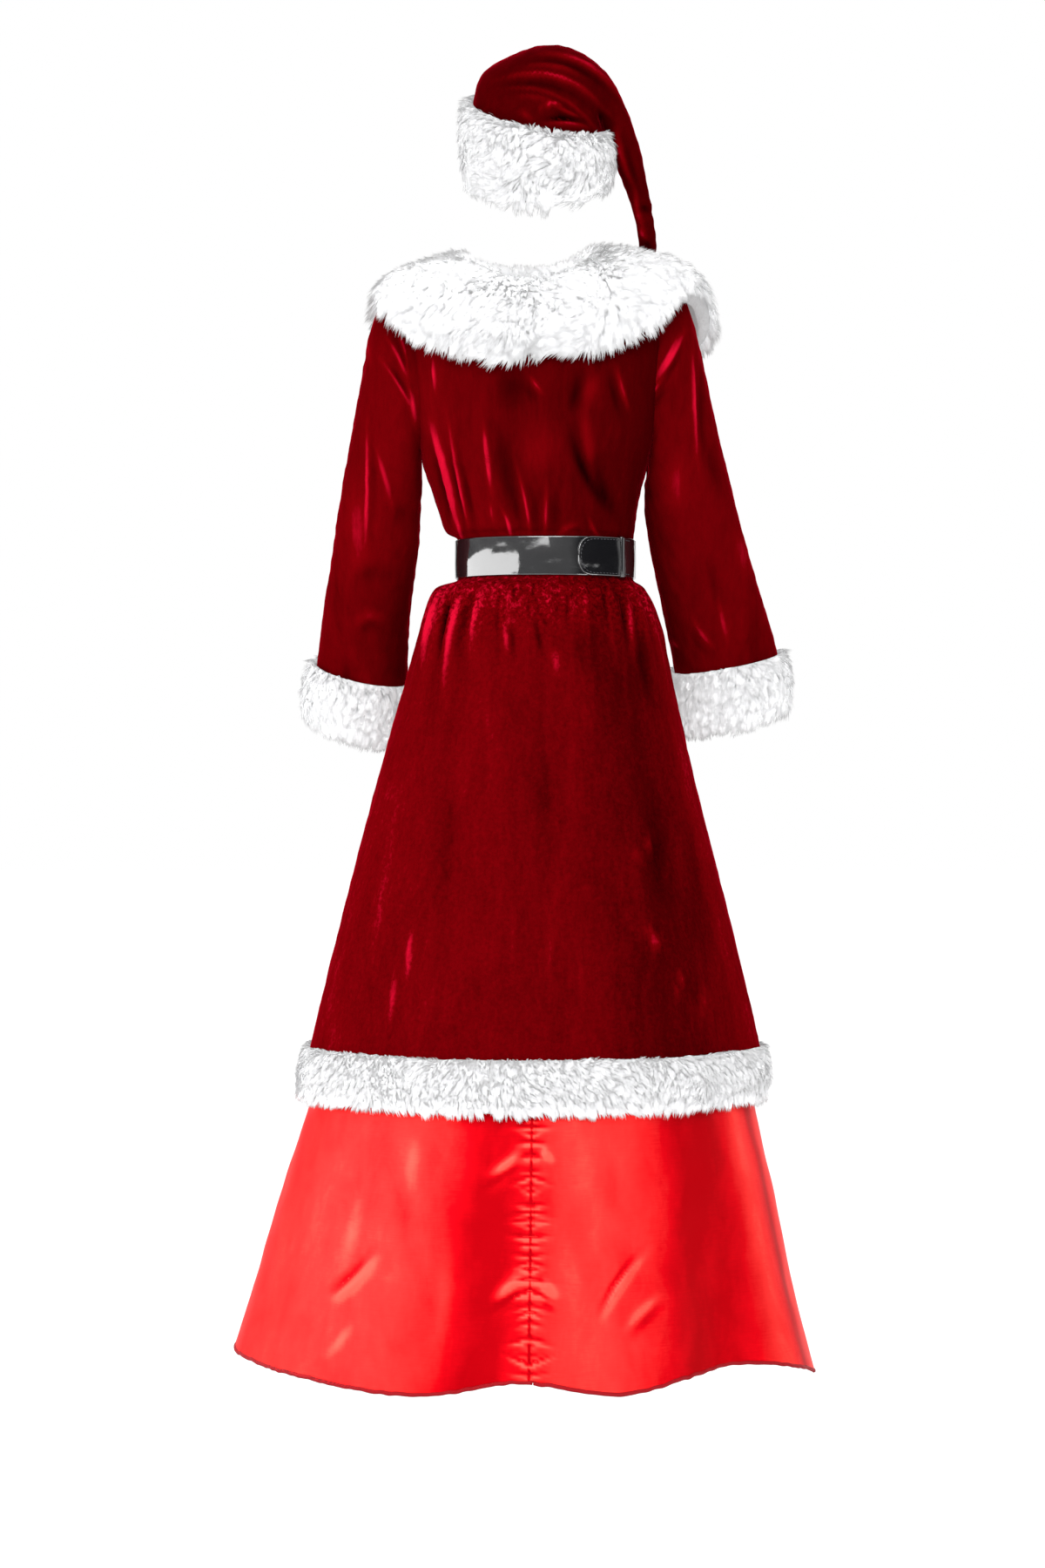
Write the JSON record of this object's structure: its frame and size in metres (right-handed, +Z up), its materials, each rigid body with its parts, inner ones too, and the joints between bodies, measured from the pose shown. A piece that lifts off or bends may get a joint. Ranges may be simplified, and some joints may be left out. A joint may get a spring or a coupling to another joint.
{
  "type": "christmas costume dress with matching hat",
  "caption": "Long-sleeved dress of dark red crushed velvet with a satin lower tier, white fur trim, a black patent belt and a matching soft hat, in its worn shape.",
  "frame": {"origin": "middle of the neck opening, where the collar meets the wearer's neck", "axes": "+Z up; the wearer faces -Y; +X to the wearer's left"},
  "size_m": [0.7062, 0.5509, 1.6159],
  "materials": {
    "velvet": "crushed velvet, short pile with sheen along the folds",
    "satin": "polyester satin, glossy",
    "fur": "long-pile faux fur, matt",
    "patent": "patent faux leather, high gloss"
  },
  "bodies": {
    "root": {"bodice_back": "velvet", "bodice_front": "velvet", "sleeve_left": "velvet", "sleeve_right": "velvet", "skirt_back": "velvet", "skirt_front": "velvet", "tier_back_left": "satin", "tier_back_right": "satin", "tier_front": "satin", "hem_trim": "fur", "collar_left": "fur", "collar_right": "fur", "cuff_left": "fur", "cuff_right": "fur", "belt": "patent", "belt_keeper": "patent", "hat_crown": "velvet", "hat_band": "fur", "hat_ball": "fur"}
  },
  "joints": []
}
